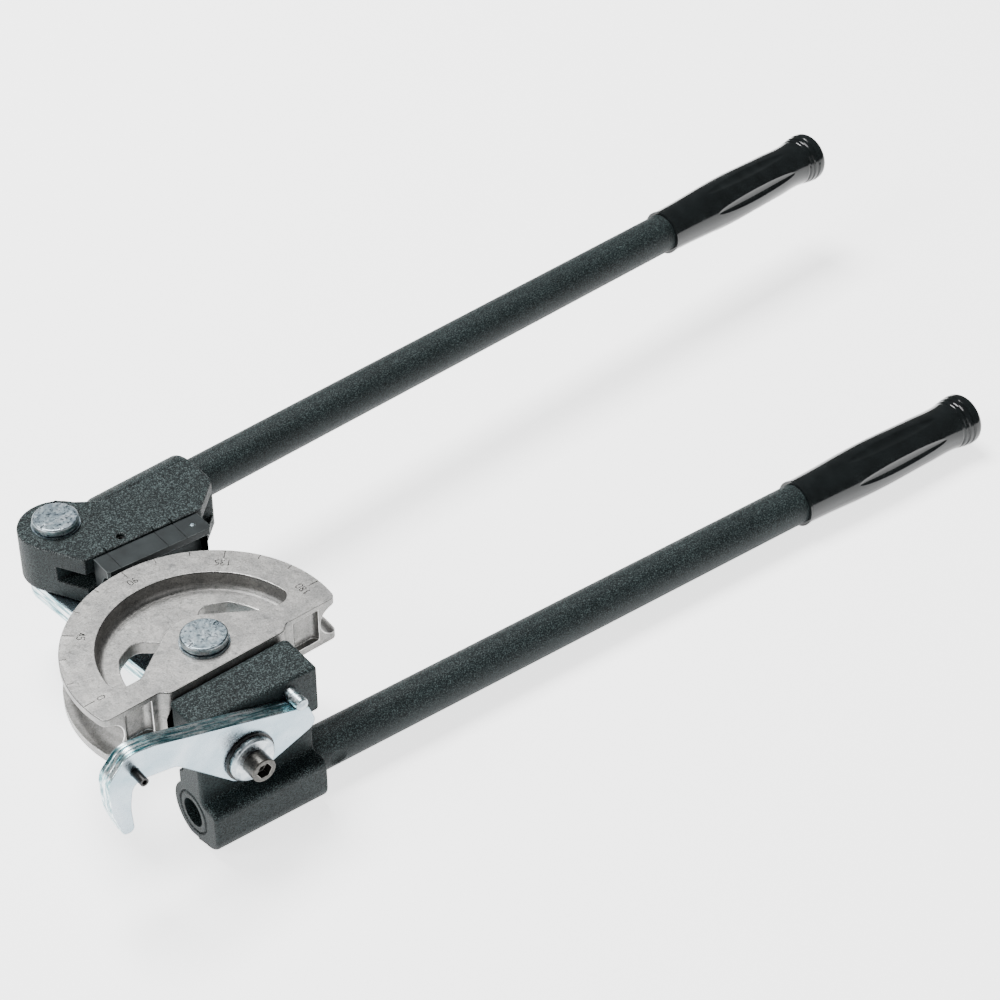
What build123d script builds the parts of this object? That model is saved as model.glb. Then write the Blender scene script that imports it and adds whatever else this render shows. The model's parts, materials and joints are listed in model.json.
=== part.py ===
from build123d import *
import os
from math import acos, asin, atan2, cos, degrees, hypot, radians, sin, sqrt, tan

# Manual tube bender for 3/4 inch tube on a 3 inch radius.
# Origin: the die pivot axis in the plane of the bend. The fixed handle runs along +X, Z is up.

os.makedirs("parts", exist_ok=True)

# ---- driving sizes, in mm and degrees
tube_od = 19.05             # outer diameter of the tube that is bent
bend_radius = 76.2          # centre line of the bend
groove_clear = 0.1          # groove radius over the tube's own
rim_over = 0.8              # flange edge beyond the centre line
die_thick = 29.2
die_turn = 3.7              # the die sits turned by this much on the head
die_flat = 21.0             # flat back of the die, from the pivot axis, where the head bears
die_ear_flat = 16.5         # the same at the two outer thirds
die_ear_start = 41.5        # where the outer thirds begin
ear_step_round = 5.0
ear_lip = 3.5               # flange left above the ear's recess
ear_recess = 3.8
pocket_depth = 10.6
rim_width = 19.2            # flat ring outside the pocket
pocket_foot = 1.4           # lower side of the pocket below the pivot axis
pocket_base = 15.8          # flat foot of the pocket, in from its outer wall
window_step = 12.0          # shelf between pocket wall and window
hub_radius = 22.9
tick_depth = 0.4
numeral_size = 2.1          # width of a numeral
stroke_width = 0.5
long_tick = 6.5
short_tick = 3.6

pin_radius = 8.0            # both pivot pins
pin_head_radius = 13.0
pin_head_height = 4.2
washer_radius = 13.8
washer_thick = 1.1
ring_radius = 11.5
ring_thick = 1.2
pin_run_clear = 0.05        # radial running clearance of every pivot

link_plate = 3.8
link_half_width = 18.3
link_gap = 1.9              # air between die and link
link_angle = 95.5           # direction of the link as built
bushing_wall = 2.5
shoe_lead = 12.94           # angle from link to tangent point when the shoe is closed

yoke_half = 15.5            # half height of the yoke
yoke_boss_radius = 22.0
yoke_front = 37.2           # pin axis to the yoke's front face
yoke_length = 91.5
ear_length = 72.0
slot_half = 5.0             # slot for the shoe's tongue
slot_end_half = 7.7         # relieved right end of the slot
slot_depth = 16.6
socket_wall = 5.8           # metal round the upper handle tube
socket_start = 26.0
socket_end = 93.0
arm_angle = 0.0             # direction of the shoe as built
arm_handle_turn = 5.5       # the upper handle is turned this much from the shoe
arm_handle_low = 3.8        # its axis below the bend plane

shoe_face = 53.0            # pin axis to the shoe's front face
shoe_short = 1.4            # groove centre in front of that face
shoe_start = 1.8
shoe_end = 69.0
shoe_half = 14.0
tongue_clear = 0.1
index_lines = (10.3, 40.8, 52.8)
roll_pin_radius = 2.4
roll_pin_first = 23.3       # goes right through
roll_pin_second = 60.0      # blind, pressed in from below
roll_pin_inset = 6.7
roll_pin_cover = 4.5        # metal left over the blind hole
stud_radius = 1.5
stud_depth = 3.5
stud_inset = 7.8

handle_od = 25.4
handle_bore = 17.2
dimple_radius = 8.0         # crimp beside the lower socket
dimple_depth = 2.5
handle_drop = 57.7          # fixed handle axis below the bend plane
handle_back = 39.5          # fixed handle axis in front of the pivot
grip_length = 147.5
grip_wall = 1.5
grip_floor = 8.0            # solid end of a grip
fixed_grip_start = 394.5
arm_grip_start = 487.0
lock_pin_radius = 2.5
lock_pin_inset = 12.0       # from the end of either socket
tube_mouth_chamfer = 1.2

head_half = 38.2            # half width of the head
head_top = 11.9
head_face = 50.0            # pivot axis to the face that carries the latch
web_back = 32.8             # pivot axis to the back of the web, behind the link's path
web_low_back = 28.3         # the same below the link
web_low = 33.5              # where that lower part begins, below the bend plane
ledge_wall = 1.0            # metal over the handle tube, under the ledge
front_wall = 10.8           # metal before the handle tube
socket_right = 32.5         # right end of the socket and of the web over it
block_low = 18.0            # the full width ends here, below the bend plane
head_socket_wall = 5.3      # metal round the lower handle tube
head_corner = 5.0           # round back right corner of the head
tongue_half_width = 17.0
tongue_half = 8.0
head_fit = 0.1              # side clearance of the tongue in the die

hook_plate = 3.5
hook_gap = 0.3              # air behind and before the latch
hook_pivot_x = -13.7
hook_pivot_z = -14.2
hook_boss_radius = 15.8
hook_bore_radius = 8.0
screw_radius = 4.76
screw_head_radius = 7.15
screw_head_height = 9.5
stop_pin_radius = 3.6
stop_pin_x = 19.5
stop_pin_z = 4.05
stop_pin_out = 13.2         # how far it stands proud
stop_pin_in = 12.0
spring_washer_radius = 14.8
spring_washer_thick = 1.2
flange_radius = 13.4
flange_thick = 3.6
screw_grip = 15.5           # screw length in the head
hex_half = 3.97
hex_depth = 5.0

# ---- sizes that follow
rim_radius = bend_radius + rim_over
groove_radius = tube_od / 2 + groove_clear
die_half = die_thick / 2
pocket_radius = rim_radius - rim_width
window_radius = pocket_radius - window_step
shelf_half = die_half - pocket_depth
pin_bore = pin_radius + pin_run_clear
bushing_radius = pin_radius + pin_run_clear + bushing_wall
link_top = -die_half - link_gap
link_bottom = link_top - 3 * link_plate
link_length = (bend_radius + shoe_face + shoe_short) / cos(radians(shoe_lead))
pin_x = link_length * cos(radians(link_angle))
pin_y = link_length * sin(radians(link_angle))
handle_radius = handle_od / 2
socket_radius = handle_radius + socket_wall
head_socket_radius = handle_radius + head_socket_wall
ledge_low = handle_drop - handle_radius - ledge_wall
socket_front = handle_back + handle_radius + front_wall
handle_bore_radius = handle_bore / 2
grip_radius = handle_radius + grip_wall
hook_back = head_face + hook_gap
hook_front = hook_back + 3 * hook_plate
hook_stack = hook_front + hook_gap
washer_face = link_bottom - 0.3

die_plane = Plane(origin=(0, 0, 0), x_dir=(cos(radians(die_turn)), sin(radians(die_turn)), 0), z_dir=(0, 0, 1))
link_plane = Plane(
    origin=(0, 0, 0), x_dir=(cos(radians(link_angle)), sin(radians(link_angle)), 0), z_dir=(0, 0, 1)
)
arm_plane = Plane(
    origin=(pin_x, pin_y, 0), x_dir=(cos(radians(arm_angle)), sin(radians(arm_angle)), 0), z_dir=(0, 0, 1)
)
roll_pin_y = -yoke_front + roll_pin_inset
roll_pin_places = ((roll_pin_first, roll_pin_y), (roll_pin_second, roll_pin_y))
roll_pin_tops = (yoke_half, yoke_half - roll_pin_cover)
arm_handle_angle = arm_angle + arm_handle_turn
arm_handle_dir = (cos(radians(arm_handle_angle)), sin(radians(arm_handle_angle)), 0)
# planes whose Z runs along a handle
arm_handle_plane = Plane(origin=(pin_x, pin_y, -arm_handle_low), x_dir=(0, 0, 1), z_dir=arm_handle_dir)
fixed_handle_plane = Plane(origin=(0, -handle_back, -handle_drop), x_dir=(0, 0, 1), z_dir=(1, 0, 0))


def finish(part, name):
    """Label a finished piece and write it."""
    part.label = name
    export_step(part, "parts/" + name + ".step")


def ring(plane, inner, outer, thick):
    """A flat ring that stands on the plane."""
    with BuildPart() as made:
        with BuildSketch(plane):
            Circle(outer)
            Circle(inner, mode=Mode.SUBTRACT)
        extrude(amount=thick)
    return made.part


# ---- forming die
def d_outline():
    """Outer line of the die: a half round with a stepped flat back."""
    ear_x = sqrt(rim_radius**2 - die_ear_flat**2)
    step_x = die_ear_start - (die_flat - die_ear_flat)
    ThreePointArc((ear_x, -die_ear_flat), (0, rim_radius), (-ear_x, -die_ear_flat))
    Polyline(
        (-ear_x, -die_ear_flat),
        (-die_ear_start, -die_ear_flat),
        (-step_x, -die_flat),
        (step_x, -die_flat),
        (die_ear_start, -die_ear_flat),
        (ear_x, -die_ear_flat),
    )


def hub_tangent(base_x, base_y):
    """Point where a line from the base point touches the hub circle on its upper side."""
    reach = hypot(base_x, base_y)
    turn = degrees(acos(hub_radius / reach))
    base = degrees(asin(base_y / reach))
    at = radians(base + turn)
    return hub_radius * cos(at), hub_radius * sin(at)


def pocket_outline():
    """Crescent between rim and hub, with straight sides that touch the hub."""
    low = -pocket_foot
    edge_x = sqrt(pocket_radius**2 - low**2)
    base_x = pocket_radius - pocket_base
    touch_x, touch_y = hub_tangent(base_x, low)
    ThreePointArc((edge_x, low), (0, pocket_radius), (-edge_x, low))
    Polyline((-edge_x, low), (-base_x, low), (-touch_x, touch_y))
    ThreePointArc((-touch_x, touch_y), (0, hub_radius), (touch_x, touch_y))
    Polyline((touch_x, touch_y), (base_x, low), (edge_x, low))


def window_outline():
    """Kidney window right of the hub, inside the crescent's lower shelf."""
    near_angle, middle_angle, far_angle, inner_angle = (radians(a) for a in (9, 24, 39, 70))
    touch_x, touch_y = hub_tangent(pocket_radius - pocket_base, -pocket_foot)
    near = (window_radius * cos(near_angle), window_radius * sin(near_angle))
    middle = (window_radius * cos(middle_angle), window_radius * sin(middle_angle))
    far = (window_radius * cos(far_angle), window_radius * sin(far_angle))
    top = (0.49 * window_radius, 0.77 * window_radius)
    inner = (hub_radius * cos(inner_angle), hub_radius * sin(inner_angle))
    hub_middle = (inner_angle + acos(touch_x / hub_radius)) / 2
    foot = (0.82 * window_radius, 0.11 * window_radius)
    ThreePointArc(near, middle, far)
    Polyline(far, top, inner)
    ThreePointArc(inner, (hub_radius * cos(hub_middle), hub_radius * sin(hub_middle)), (touch_x, touch_y))
    Polyline((touch_x, touch_y), foot, near)


# strokes of the numerals on the scale, on a grid one wide and two high
numeral_strokes = {
    "0": [((0.25, 0), (0, 0.4), (0, 1.6), (0.25, 2), (0.75, 2), (1, 1.6), (1, 0.4), (0.75, 0), (0.25, 0))],
    "1": [((0.2, 1.6), (0.5, 2), (0.5, 0))],
    "3": [((0, 1.8), (0.3, 2), (0.8, 2), (1, 1.5), (0.5, 1.05), (1, 0.5), (0.8, 0), (0.3, 0), (0, 0.2))],
    "4": [((0.75, 0), (0.75, 2), (0, 0.6), (1.05, 0.6))],
    "5": [((0.9, 2), (0.1, 2), (0.05, 1.15), (0.7, 1.2), (1, 0.8), (0.95, 0.3), (0.6, 0), (0, 0.1))],
    "8": [
        ((0.5, 1.05), (0.1, 1.4), (0.15, 1.85), (0.5, 2), (0.85, 1.85), (0.9, 1.4), (0.5, 1.05)),
        ((0.5, 1.05), (0, 0.6), (0.1, 0.15), (0.5, 0), (0.9, 0.15), (1, 0.6), (0.5, 1.05)),
    ],
    "9": [((0.95, 1.2), (0.6, 0.95), (0.1, 1.2), (0.1, 1.8), (0.5, 2), (0.9, 1.8), (1, 1.2), (0.8, 0.4), (0.4, 0))],
}


def degree_marks():
    """Engraved scale: long ticks and numbers each 45 degrees, short ticks each 15."""
    with BuildSketch(die_plane.offset(die_half - tick_depth)) as marks:
        for step in range(13):
            length = long_tick if step % 3 == 0 else short_tick
            turned = Location((0, 0, 0), (0, 0, 180 - 15 * step))
            with Locations(turned * Location((rim_radius - length / 2 - 0.6, 0, 0))):
                Rectangle(length, stroke_width)
        for step, text in enumerate(("0", "45", "90", "135", "180")):
            at = Location((0, 0, 0), (0, 0, 180 - 45 * step)) * Location((rim_radius - 11.0, 0, 0), (0, 0, 90))
            left = -(1.5 * len(text) - 0.5) / 2
            for place, digit in enumerate(text):
                for stroke in numeral_strokes[digit]:
                    for (x1, y1), (x2, y2) in zip(stroke, stroke[1:]):
                        middle = ((x1 + x2) / 2 + left + 1.5 * place, (y1 + y2) / 2 - 1)
                        turn = degrees(atan2(y2 - y1, x2 - x1))
                        spot = Location((numeral_size * middle[0], numeral_size * middle[1], 0), (0, 0, turn))
                        with Locations(at * spot):
                            SlotCenterToCenter(numeral_size * hypot(x2 - x1, y2 - y1), stroke_width)
    return marks.sketch


with BuildPart() as forming_die:
    with BuildSketch(die_plane.offset(-die_half)) as die_face:
        with BuildLine():
            d_outline()
        make_face()
        fillet(die_face.vertices().filter_by(lambda v: hypot(v.X, v.Y) < window_radius), ear_step_round)
        fillet(die_face.vertices().group_by(Axis.X)[0], 4)
        fillet(die_face.vertices().group_by(Axis.X)[-1], 4)
    extrude(amount=die_thick)
    for level in (shelf_half, -die_half):
        with BuildSketch(die_plane.offset(level)) as pocket:
            with BuildLine():
                pocket_outline()
            make_face()
            fillet(pocket.vertices().group_by(Axis.Y)[0], 7)
        extrude(amount=pocket_depth, mode=Mode.SUBTRACT)
    shelf_walls = forming_die.edges().filter_by_position(Axis.Z, shelf_half - 0.01, shelf_half + 0.01)
    fillet(shelf_walls.filter_by(lambda e: e.length > 60 and e.bounding_box().size.X > 2 * hub_radius), 4)
    with BuildSketch(die_plane.offset(-die_half)) as window:
        with BuildLine():
            window_outline()
        make_face()
        fillet(window.vertices().filter_by(lambda v: hypot(v.X, v.Y) > hub_radius + 2 and v.Y > 20), 8)
        fillet(window.vertices().filter_by(lambda v: hypot(v.X, v.Y) > hub_radius + 2 and v.Y < 12), 3)
        mirror(about=Plane.YZ)
    extrude(amount=die_thick, mode=Mode.SUBTRACT)
    with BuildSketch(Plane.XZ):
        with Locations((bend_radius, 0)):
            Circle(groove_radius)
    revolve(axis=Axis.Z, mode=Mode.SUBTRACT)
    ear_cut_start = die_ear_start + ear_step_round
    ear_cut_end = bend_radius - groove_radius - ear_lip
    for side in (1, -1):
        with BuildSketch(die_plane.offset(-groove_radius)) as scoop:
            with Locations((side * (ear_cut_start + ear_cut_end) / 2, -die_ear_flat)):
                RectangleRounded(ear_cut_end - ear_cut_start, 2 * ear_recess, ear_recess - 0.2)
        extrude(amount=die_half - ear_lip + groove_radius, mode=Mode.SUBTRACT)
    with BuildSketch(die_plane.offset(-tongue_half - head_fit)):
        Circle(tongue_half_width + head_fit)
        with Locations((0, -die_flat)):
            Rectangle(2 * (tongue_half_width + head_fit), 2 * die_flat)
    extrude(amount=2 * (tongue_half + head_fit), mode=Mode.SUBTRACT)
    with BuildSketch(die_plane.offset(-die_half)):
        Circle(pin_radius)
    extrude(amount=die_thick, mode=Mode.SUBTRACT)
    extrude(degree_marks(), amount=2 * tick_depth, mode=Mode.SUBTRACT)
finish(forming_die.part, "forming_die")


# ---- fixed head
seat_clear = 0.3            # air between the head and the die's two faces
with BuildPart() as fixed_head:
    with BuildSketch(Plane.YZ.offset(-head_half)):
        with BuildLine():
            FilletPolyline(
                (-die_flat + 6, head_top),
                (-head_face, head_top),
                (-head_face, -ledge_low),
                (-socket_front, -ledge_low),
                (-socket_front, -handle_drop - head_socket_radius + 3.0),
                (-handle_back - 3, -handle_drop - head_socket_radius),
                (-web_low_back, -handle_drop),
                (-web_low_back, -web_low),
                (-web_back, -web_low),
                (-web_back, -die_half - 2 * seat_clear),
                (-die_flat + 6, -die_half - 2 * seat_clear),
                radius=(0, 2.0, 3.0, 4.0, 12.0, 0.0, 0.0, 2.0, 2.0, 1.5, 0),
                close=True,
            )
        make_face()
        with Locations((-handle_back, -handle_drop)):
            Circle(head_socket_radius)
    extrude(amount=2 * head_half)
    fillet(fixed_head.edges().filter_by(Axis.Z).group_by(Axis.Y)[0], 2.5)
    with BuildSketch(Plane.YZ.offset(socket_right)):
        with Locations((-handle_back, -block_low - handle_drop)):
            Rectangle(4 * head_half, 2 * handle_drop)
    extrude(amount=head_half, mode=Mode.SUBTRACT)
    with BuildSketch(die_plane.offset(-die_half - seat_clear)):
        with Locations((0, -die_flat + 20)):
            Rectangle(4 * head_half, 40)
    extrude(amount=2 * (die_half + seat_clear), mode=Mode.SUBTRACT)
    back_edges = fixed_head.edges().filter_by(Axis.Z).filter_by(lambda e: e.length > head_top)
    fillet(back_edges.filter_by(lambda e: e.center().X > head_half - 0.1).sort_by(Axis.Y)[-1], head_corner)
    with BuildSketch(die_plane.offset(-tongue_half)):
        Circle(tongue_half_width)
        with Locations((0, -die_flat / 2 - 2)):
            Rectangle(2 * tongue_half_width, die_flat + 4)
    extrude(amount=2 * tongue_half)
    with BuildSketch(die_plane.offset(-die_half)):
        Circle(pin_radius)
    extrude(amount=die_thick, mode=Mode.SUBTRACT)
    with BuildSketch(fixed_handle_plane.offset(-head_half)):
        Circle(handle_radius)
    extrude(amount=2 * head_half, mode=Mode.SUBTRACT)
    with BuildSketch(fixed_handle_plane.offset(-head_half)):
        Circle(handle_radius + 0.6)
    extrude(amount=1.6, mode=Mode.SUBTRACT)
    with BuildSketch(Plane.XZ.offset(head_face - screw_grip - 0.5)):
        with Locations((hook_pivot_x, hook_pivot_z)):
            Circle(screw_radius)
    extrude(amount=screw_grip + 1, mode=Mode.SUBTRACT)
    with BuildSketch(Plane.XZ.offset(head_face - stop_pin_in)):
        with Locations((stop_pin_x, stop_pin_z)):
            Circle(stop_pin_radius)
    extrude(amount=stop_pin_in + 1, mode=Mode.SUBTRACT)
    with BuildSketch(Plane.XY.offset(-handle_drop - head_socket_radius - 2)):
        with Locations((socket_right - lock_pin_inset, -handle_back)):
            Circle(lock_pin_radius)
    extrude(amount=head_socket_radius + 2 + handle_radius + 0.5, mode=Mode.SUBTRACT)
finish(fixed_head.part, "fixed_head")


# ---- handles
def below(plane, along):
    """Plane that looks down from a point on a handle's axis."""
    return Plane(origin=plane.from_local_coords((0, 0, along)), x_dir=plane.z_dir, z_dir=(0, 0, -1))


def handle_tube(plane, start, end, pin_at, dimple_at=None):
    """Steel tube along the plane's Z with a hole for its lock pin."""
    with BuildPart() as tube:
        with BuildSketch(plane.offset(start)):
            Circle(handle_radius)
            Circle(handle_bore_radius, mode=Mode.SUBTRACT)
        extrude(amount=end - start)
        with BuildSketch(below(plane, pin_at)):
            Circle(lock_pin_radius)
        extrude(amount=handle_od, mode=Mode.SUBTRACT)
        if dimple_at is not None:
            mouth = tube.edges().filter_by(GeomType.CIRCLE).group_by(Axis.X)[0]
            chamfer(mouth.sort_by(SortBy.RADIUS)[-1], tube_mouth_chamfer)
            centre = plane.from_local_coords((0, handle_radius + dimple_radius - dimple_depth, dimple_at))
            with Locations(centre):
                Sphere(dimple_radius, mode=Mode.SUBTRACT)
    return tube.part


def lock_pin(plane, pin_at, length):
    """Pin pressed from below through socket and tube wall."""
    with BuildPart() as pin:
        with BuildSketch(below(plane, pin_at)):
            Circle(lock_pin_radius)
        extrude(amount=length)
        with BuildSketch(below(plane, pin_at)):
            Circle(handle_bore_radius)
        extrude(amount=handle_bore_radius + 0.3, mode=Mode.SUBTRACT)
    return pin.part


def grip(plane, start):
    """Closed moulded grip with a swelling, a neck and a flared, ringed end."""
    length = grip_length
    floor = start + length - grip_floor
    with BuildPart() as made:
        with BuildSketch(Plane(origin=plane.origin, x_dir=plane.x_dir, z_dir=-plane.y_dir)):
            with BuildLine():
                rim = Line((handle_radius, start), (grip_radius, start))
                swell = Spline(
                    rim @ 1,
                    (grip_radius + 0.5, start + 0.12 * length),
                    (grip_radius + 2.2, start + 0.42 * length),
                    (grip_radius + 1.3, start + 0.70 * length),
                    (grip_radius + 0.9, start + 0.86 * length),
                    (grip_radius + 2.6, start + 0.95 * length),
                )
                nose = Spline(
                    swell @ 1,
                    (grip_radius + 1.2, start + 0.985 * length),
                    (0, start + length),
                    tangents=((0.1, 1), (-1, 0)),
                )
                Polyline(nose @ 1, (0, floor), (handle_radius, floor), rim @ 0)
            make_face()
        revolve(axis=Axis(plane.origin, plane.z_dir))
    return made.part


fixed_tube_end = fixed_grip_start + grip_length - grip_floor
arm_tube_start = socket_start + 8
arm_tube_end = arm_grip_start + grip_length - grip_floor
fixed_pin_at = socket_right - lock_pin_inset
arm_pin_at = socket_end - lock_pin_inset
finish(
    handle_tube(fixed_handle_plane, -head_half, fixed_tube_end, fixed_pin_at, dimple_at=head_half + 8.5),
    "fixed_handle_tube",
)
finish(handle_tube(arm_handle_plane, arm_tube_start, arm_tube_end, arm_pin_at), "bending_handle_tube")
finish(lock_pin(fixed_handle_plane, fixed_pin_at, head_socket_radius - 0.8), "fixed_handle_pin")
finish(lock_pin(arm_handle_plane, arm_pin_at, socket_radius - 0.8), "bending_handle_pin")
finish(grip(fixed_handle_plane, fixed_grip_start), "fixed_grip")
finish(grip(arm_handle_plane, arm_grip_start), "bending_grip")


# ---- pivot pins, their washers and rings
def pivot_pin(x, y, seat):
    """Headed pin: undercut head above the seat, ring groove below the link."""
    groove_top = washer_face - washer_thick
    end = groove_top - ring_thick - 1.4
    head_base = seat + washer_thick
    head_top_z = head_base + pin_head_height + 0.6
    with BuildPart() as pin:
        with BuildSketch(Plane(origin=(x, y, 0), x_dir=(1, 0, 0), z_dir=(0, -1, 0))):
            with BuildLine():
                Polyline(
                    (0, end),
                    (pin_radius - 0.8, end),
                    (pin_radius, end + 0.8),
                    (pin_radius, groove_top - ring_thick),
                    (pin_radius - 1, groove_top - ring_thick),
                    (pin_radius - 1, groove_top),
                    (pin_radius, groove_top),
                    (pin_radius, head_base),
                    (pin_head_radius - 1.2, head_base),
                    (pin_head_radius - 1.2, head_base + 0.6),
                    (pin_head_radius, head_base + 0.6),
                    (pin_head_radius, head_top_z - 0.7),
                    (pin_head_radius - 0.7, head_top_z),
                    (0, head_top_z),
                    close=True,
                )
            make_face()
        revolve(axis=Axis((x, y, 0), (0, 0, 1)))
        with BuildSketch(Plane(origin=(x, y, head_top_z - 0.5), z_dir=(0, 0, 1))):
            with PolarLocations(pin_head_radius - 2.2, 2, start_angle=20):
                Rectangle(4.4, 0.9)
        extrude(amount=1, mode=Mode.SUBTRACT)
    return pin.part


def pin_hardware(x, y, seat, name):
    """Washer under the head, washer and retaining ring under the link."""
    finish(ring(Plane((x, y, seat)), pin_radius, washer_radius, washer_thick), name + "_pin_top_washer")
    washer = ring(Plane((x, y, washer_face - washer_thick)), pin_radius, washer_radius, washer_thick)
    finish(washer, name + "_pin_washer")
    low = washer_face - washer_thick - ring_thick
    finish(ring(Plane((x, y, low)), pin_radius - 1, ring_radius, ring_thick), name + "_pin_ring")


finish(pivot_pin(0, 0, die_half), "die_pivot_pin")
pin_hardware(0, 0, die_half, "die")
finish(pivot_pin(pin_x, pin_y, yoke_half), "yoke_pivot_pin")
pin_hardware(pin_x, pin_y, yoke_half, "yoke")


# ---- link
def link_plate_at(level):
    """One plate of the link, bored for the two bushings."""
    with BuildPart() as plate:
        with BuildSketch(link_plane.offset(level)):
            with Locations((link_length / 2, 0)):
                SlotCenterToCenter(link_length, 2 * link_half_width)
            with Locations((0, 0), (link_length, 0)):
                Circle(bushing_radius, mode=Mode.SUBTRACT)
        extrude(amount=link_plate)
        chamfer(plate.faces().group_by(Axis.Z)[-1].edges().filter_by(lambda e: e.length > 40), 0.3)
    return plate.part


for index, name in enumerate(("bottom", "middle", "top")):
    finish(link_plate_at(link_bottom + index * link_plate), "link_plate_" + name)
finish(ring(Plane((0, 0, link_bottom)), pin_bore, bushing_radius, 3 * link_plate), "link_die_bushing")
finish(ring(Plane((pin_x, pin_y, link_bottom)), pin_bore, bushing_radius, 3 * link_plate), "link_yoke_bushing")


# ---- bending yoke
boss_x = -yoke_boss_radius * cos(radians(30))
boss_y = -yoke_boss_radius * sin(radians(30))
corner_x = boss_x + (yoke_front + boss_y) / tan(radians(60))
with BuildPart() as bending_yoke:
    with BuildSketch(arm_plane.offset(-yoke_half)):
        Circle(yoke_boss_radius)
        with BuildLine():
            Polyline(
                (0, 0),
                (boss_x, boss_y),
                (corner_x, -yoke_front),
                (ear_length, -yoke_front),
                (yoke_length - 1.5, -yoke_front + 17.5),
                (yoke_length, -yoke_front + 22),
                (yoke_length, 8),
                (socket_start + 4, 4),
                (16, 14),
                (0, yoke_boss_radius),
                close=True,
            )
        make_face()
    extrude(amount=2 * yoke_half)
    fillet(bending_yoke.edges().filter_by(Axis.Z).group_by(Axis.X)[-1], 3)
    with BuildSketch(Plane(origin=arm_handle_plane.origin, x_dir=arm_handle_dir, z_dir=(0, 0, 1))):
        with BuildLine():
            FilletPolyline(
                (socket_start, 0),
                (socket_start, socket_radius),
                (socket_end, socket_radius),
                (socket_end, 0),
                radius=(0, 7, 3.5, 0),
                close=True,
            )
        make_face()
    revolve(axis=Axis(arm_handle_plane.origin, arm_handle_dir))
    slot_back = -yoke_front + slot_depth
    with BuildSketch(arm_plane.offset(-slot_half)):
        with Locations((yoke_length / 2, slot_back - 30)):
            Rectangle(2 * yoke_length, 60)
    extrude(amount=2 * slot_half, mode=Mode.SUBTRACT)
    with BuildSketch(arm_plane.offset(-slot_end_half)):
        with Locations((yoke_length + 10, slot_back - 30)):
            Rectangle(2 * (yoke_length + 10 - ear_length + 6), 60)
    extrude(amount=2 * slot_end_half, mode=Mode.SUBTRACT)
    with BuildSketch(arm_handle_plane.offset(arm_tube_start)):
        Circle(handle_radius)
    extrude(amount=socket_end - arm_tube_start + 5, mode=Mode.SUBTRACT)
    with BuildSketch(arm_plane.offset(-yoke_half)):
        Circle(pin_radius)
    extrude(amount=2 * yoke_half, mode=Mode.SUBTRACT)
    for place, top in zip(roll_pin_places, roll_pin_tops):
        with BuildSketch(arm_plane.offset(-yoke_half)):
            with Locations(place):
                Circle(roll_pin_radius)
        extrude(amount=top + yoke_half, mode=Mode.SUBTRACT)
    with BuildSketch(Plane(origin=arm_handle_plane.from_local_coords((0, 0, arm_pin_at)), z_dir=(0, 0, -1))):
        Circle(lock_pin_radius)
    extrude(amount=socket_radius + 1, mode=Mode.SUBTRACT)
    with BuildSketch(arm_plane.offset(yoke_half - 2 * tick_depth)):
        for line_x in index_lines:
            with Locations((line_x, -yoke_front)):
                Rectangle(1.2, 6)
    extrude(amount=1, mode=Mode.SUBTRACT)
finish(bending_yoke.part, "bending_yoke")


# ---- forming shoe with its pins and stud
stud_x = shoe_end - stud_inset
stud_y = -(shoe_face + yoke_front) / 2
with BuildPart() as forming_shoe:
    with BuildSketch(arm_plane.offset(-shoe_half)):
        with Locations(((shoe_start + shoe_end) / 2, -(shoe_face + yoke_front) / 2)):
            Rectangle(shoe_end - shoe_start, shoe_face - yoke_front)
    extrude(amount=2 * shoe_half)
    chamfer(forming_shoe.edges().filter_by(Axis.Z).group_by(Axis.Y)[0], 1.5)
    with BuildSketch(arm_plane.offset(-slot_half + tongue_clear)):
        with Locations(((shoe_start + shoe_end) / 2, -yoke_front + 5)):
            Rectangle(shoe_end - shoe_start - 8, 14)
    extrude(amount=2 * (slot_half - tongue_clear))
    with BuildSketch(Plane(origin=arm_plane.origin, x_dir=arm_plane.y_dir, z_dir=arm_plane.x_dir)):
        with Locations((-(shoe_face + shoe_short), 0)):
            Circle(groove_radius)
    extrude(amount=shoe_end + 5, mode=Mode.SUBTRACT)
    with BuildSketch(arm_plane.offset(-groove_radius)):
        with Locations((shoe_end, -shoe_face)):
            Rectangle(6, 2 * (shoe_face - yoke_front))
    extrude(amount=2 * groove_radius, mode=Mode.SUBTRACT)
    with BuildSketch(arm_plane.offset(-slot_half)):
        with Locations(*roll_pin_places):
            Circle(roll_pin_radius)
    extrude(amount=2 * slot_half, mode=Mode.SUBTRACT)
    with BuildSketch(arm_plane.offset(shoe_half - tick_depth)):
        for line_x in index_lines:
            with Locations((line_x, -(shoe_face + yoke_front) / 2)):
                Rectangle(stroke_width, shoe_face - yoke_front + 2)
    extrude(amount=1, mode=Mode.SUBTRACT)
    with BuildSketch(arm_plane.offset(shoe_half - stud_depth)):
        with Locations((stud_x, stud_y)):
            Circle(stud_radius)
    extrude(amount=stud_depth + 1, mode=Mode.SUBTRACT)
finish(forming_shoe.part, "forming_shoe")

with BuildPart() as shoe_stud:
    with BuildSketch(arm_plane.offset(shoe_half - stud_depth)):
        with Locations((stud_x, stud_y)):
            Circle(stud_radius)
    extrude(amount=stud_depth + 0.6)
    fillet(shoe_stud.edges().group_by(Axis.Z)[-1], 0.6)
finish(shoe_stud.part, "shoe_stud")

with BuildPart() as shoe_roll_pins:
    for place, top in zip(roll_pin_places, roll_pin_tops):
        with BuildSketch(arm_plane.offset(-yoke_half + 1)):
            with Locations(place):
                Circle(roll_pin_radius)
                Circle(roll_pin_radius - 1.0, mode=Mode.SUBTRACT)
        extrude(amount=top + yoke_half - 3)
finish(shoe_roll_pins.part, "shoe_roll_pins")


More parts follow.
